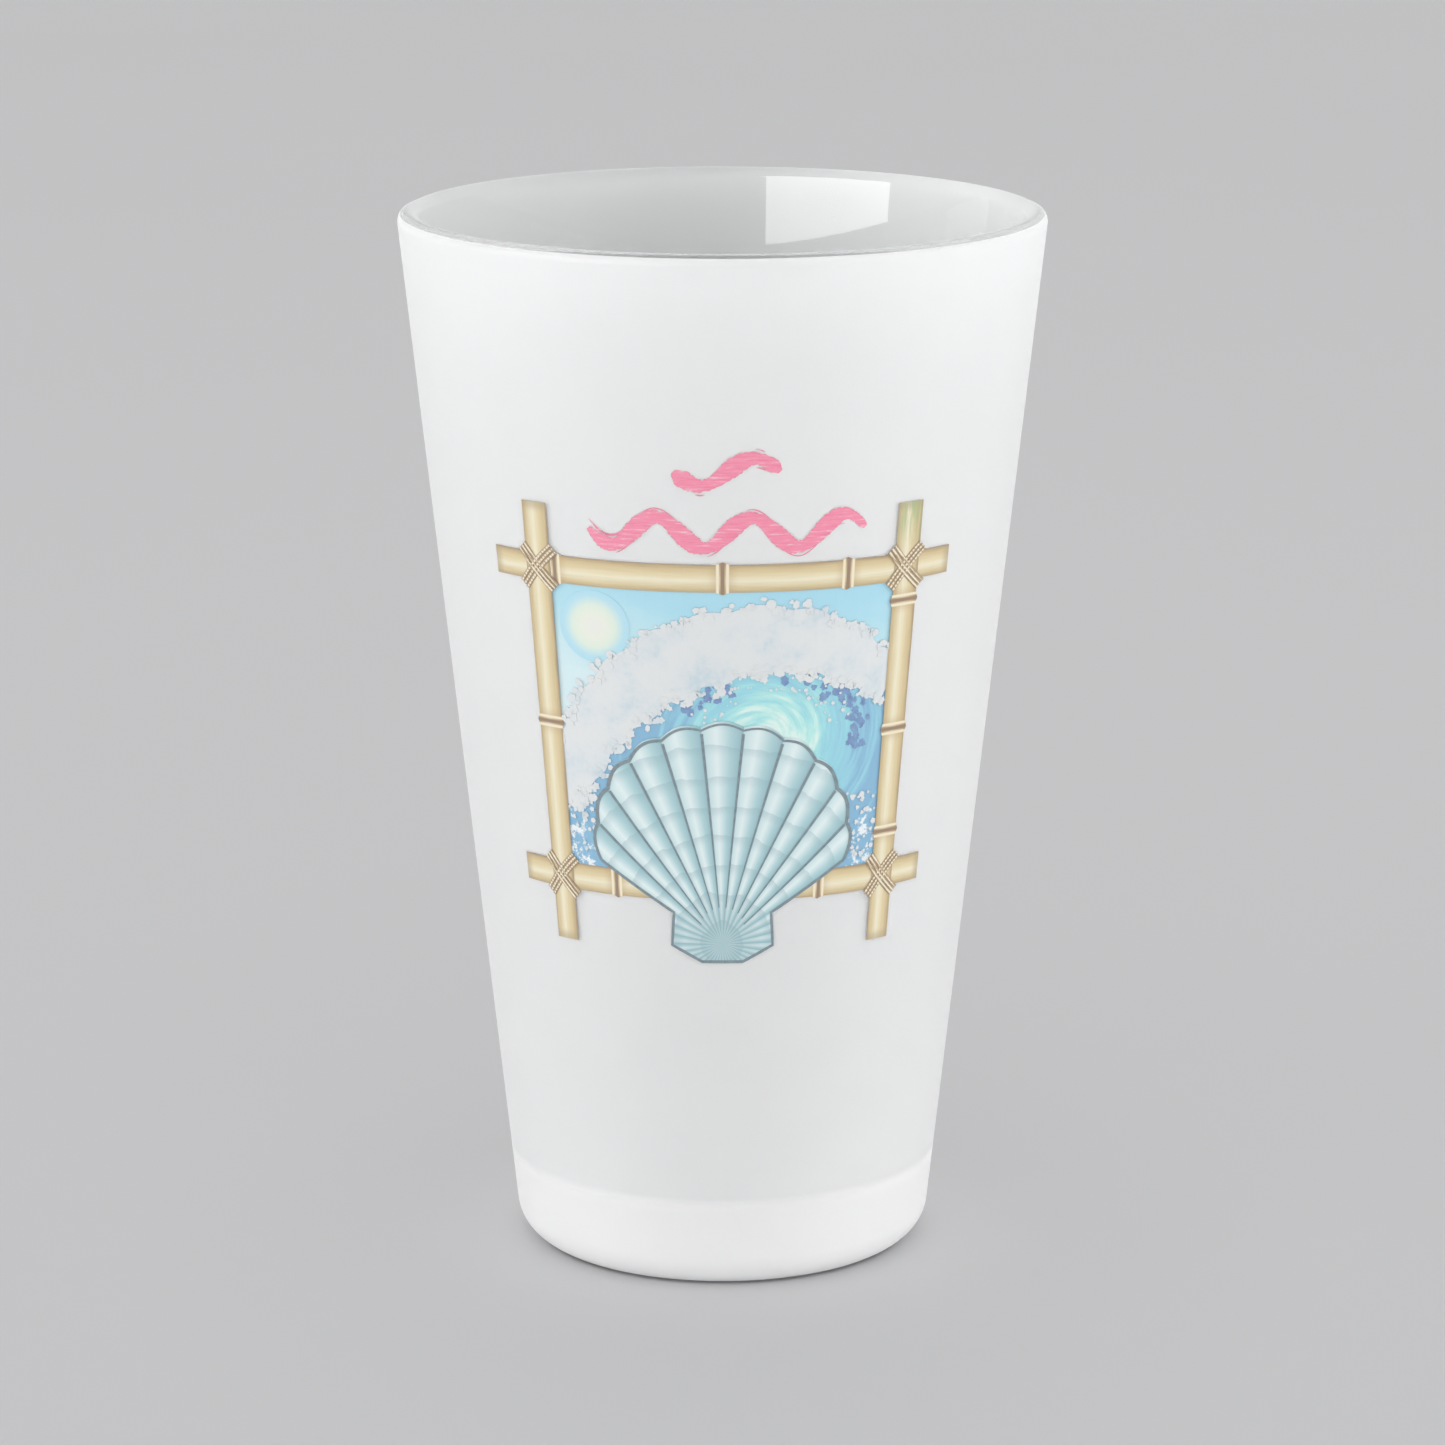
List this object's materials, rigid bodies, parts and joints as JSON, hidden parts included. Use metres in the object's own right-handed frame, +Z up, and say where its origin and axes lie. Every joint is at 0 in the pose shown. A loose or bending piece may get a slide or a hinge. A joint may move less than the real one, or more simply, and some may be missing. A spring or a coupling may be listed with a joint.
{
  "type": "pint glass",
  "caption": "Tapered frosted pint glass with a rounded lip, a thick base and a printed beach picture; stands on its foot and holds a drink.",
  "frame": {"origin": "centre of the foot, on the plane that the bearing ring stands on", "axes": "+Z up along the axis of the glass; the printed picture faces -Y; +X to the right of a person who looks at the picture"},
  "size_m": [0.0888, 0.0888, 0.146],
  "materials": {
    "clear_glass": "clear, fire-polished, glossy",
    "frost": "sprayed satin frost, translucent white",
    "ink_sea": "satin screen-print ink, pale blue with fine streaks",
    "ink_sun": "satin screen-print ink, pale yellow",
    "ink_wave": "satin screen-print ink, deep blue to aqua",
    "ink_foam": "satin screen-print ink, speckled white",
    "ink_bamboo": "satin screen-print ink, tan with grain lines",
    "ink_cord": "satin screen-print ink, straw with twist marks",
    "ink_shell": "satin screen-print ink, teal with rib lines",
    "ink_pink": "satin screen-print ink, pink dry brush"
  },
  "bodies": {
    "root": {"glass_body": "clear_glass", "frost_coat": "frost", "print_sea_panel": "ink_sea", "print_sun": "ink_sun", "print_wave": "ink_wave", "print_foam": "ink_foam", "print_rail_bottom": "ink_bamboo", "print_rail_top": "ink_bamboo", "print_post_left": "ink_bamboo", "print_post_right": "ink_bamboo", "print_lashing_bottom_left": "ink_cord", "print_lashing_bottom_right": "ink_cord", "print_lashing_top_left": "ink_cord", "print_lashing_top_right": "ink_cord", "print_shell": "ink_shell", "print_brush_short": "ink_pink", "print_brush_long": "ink_pink"}
  },
  "joints": []
}
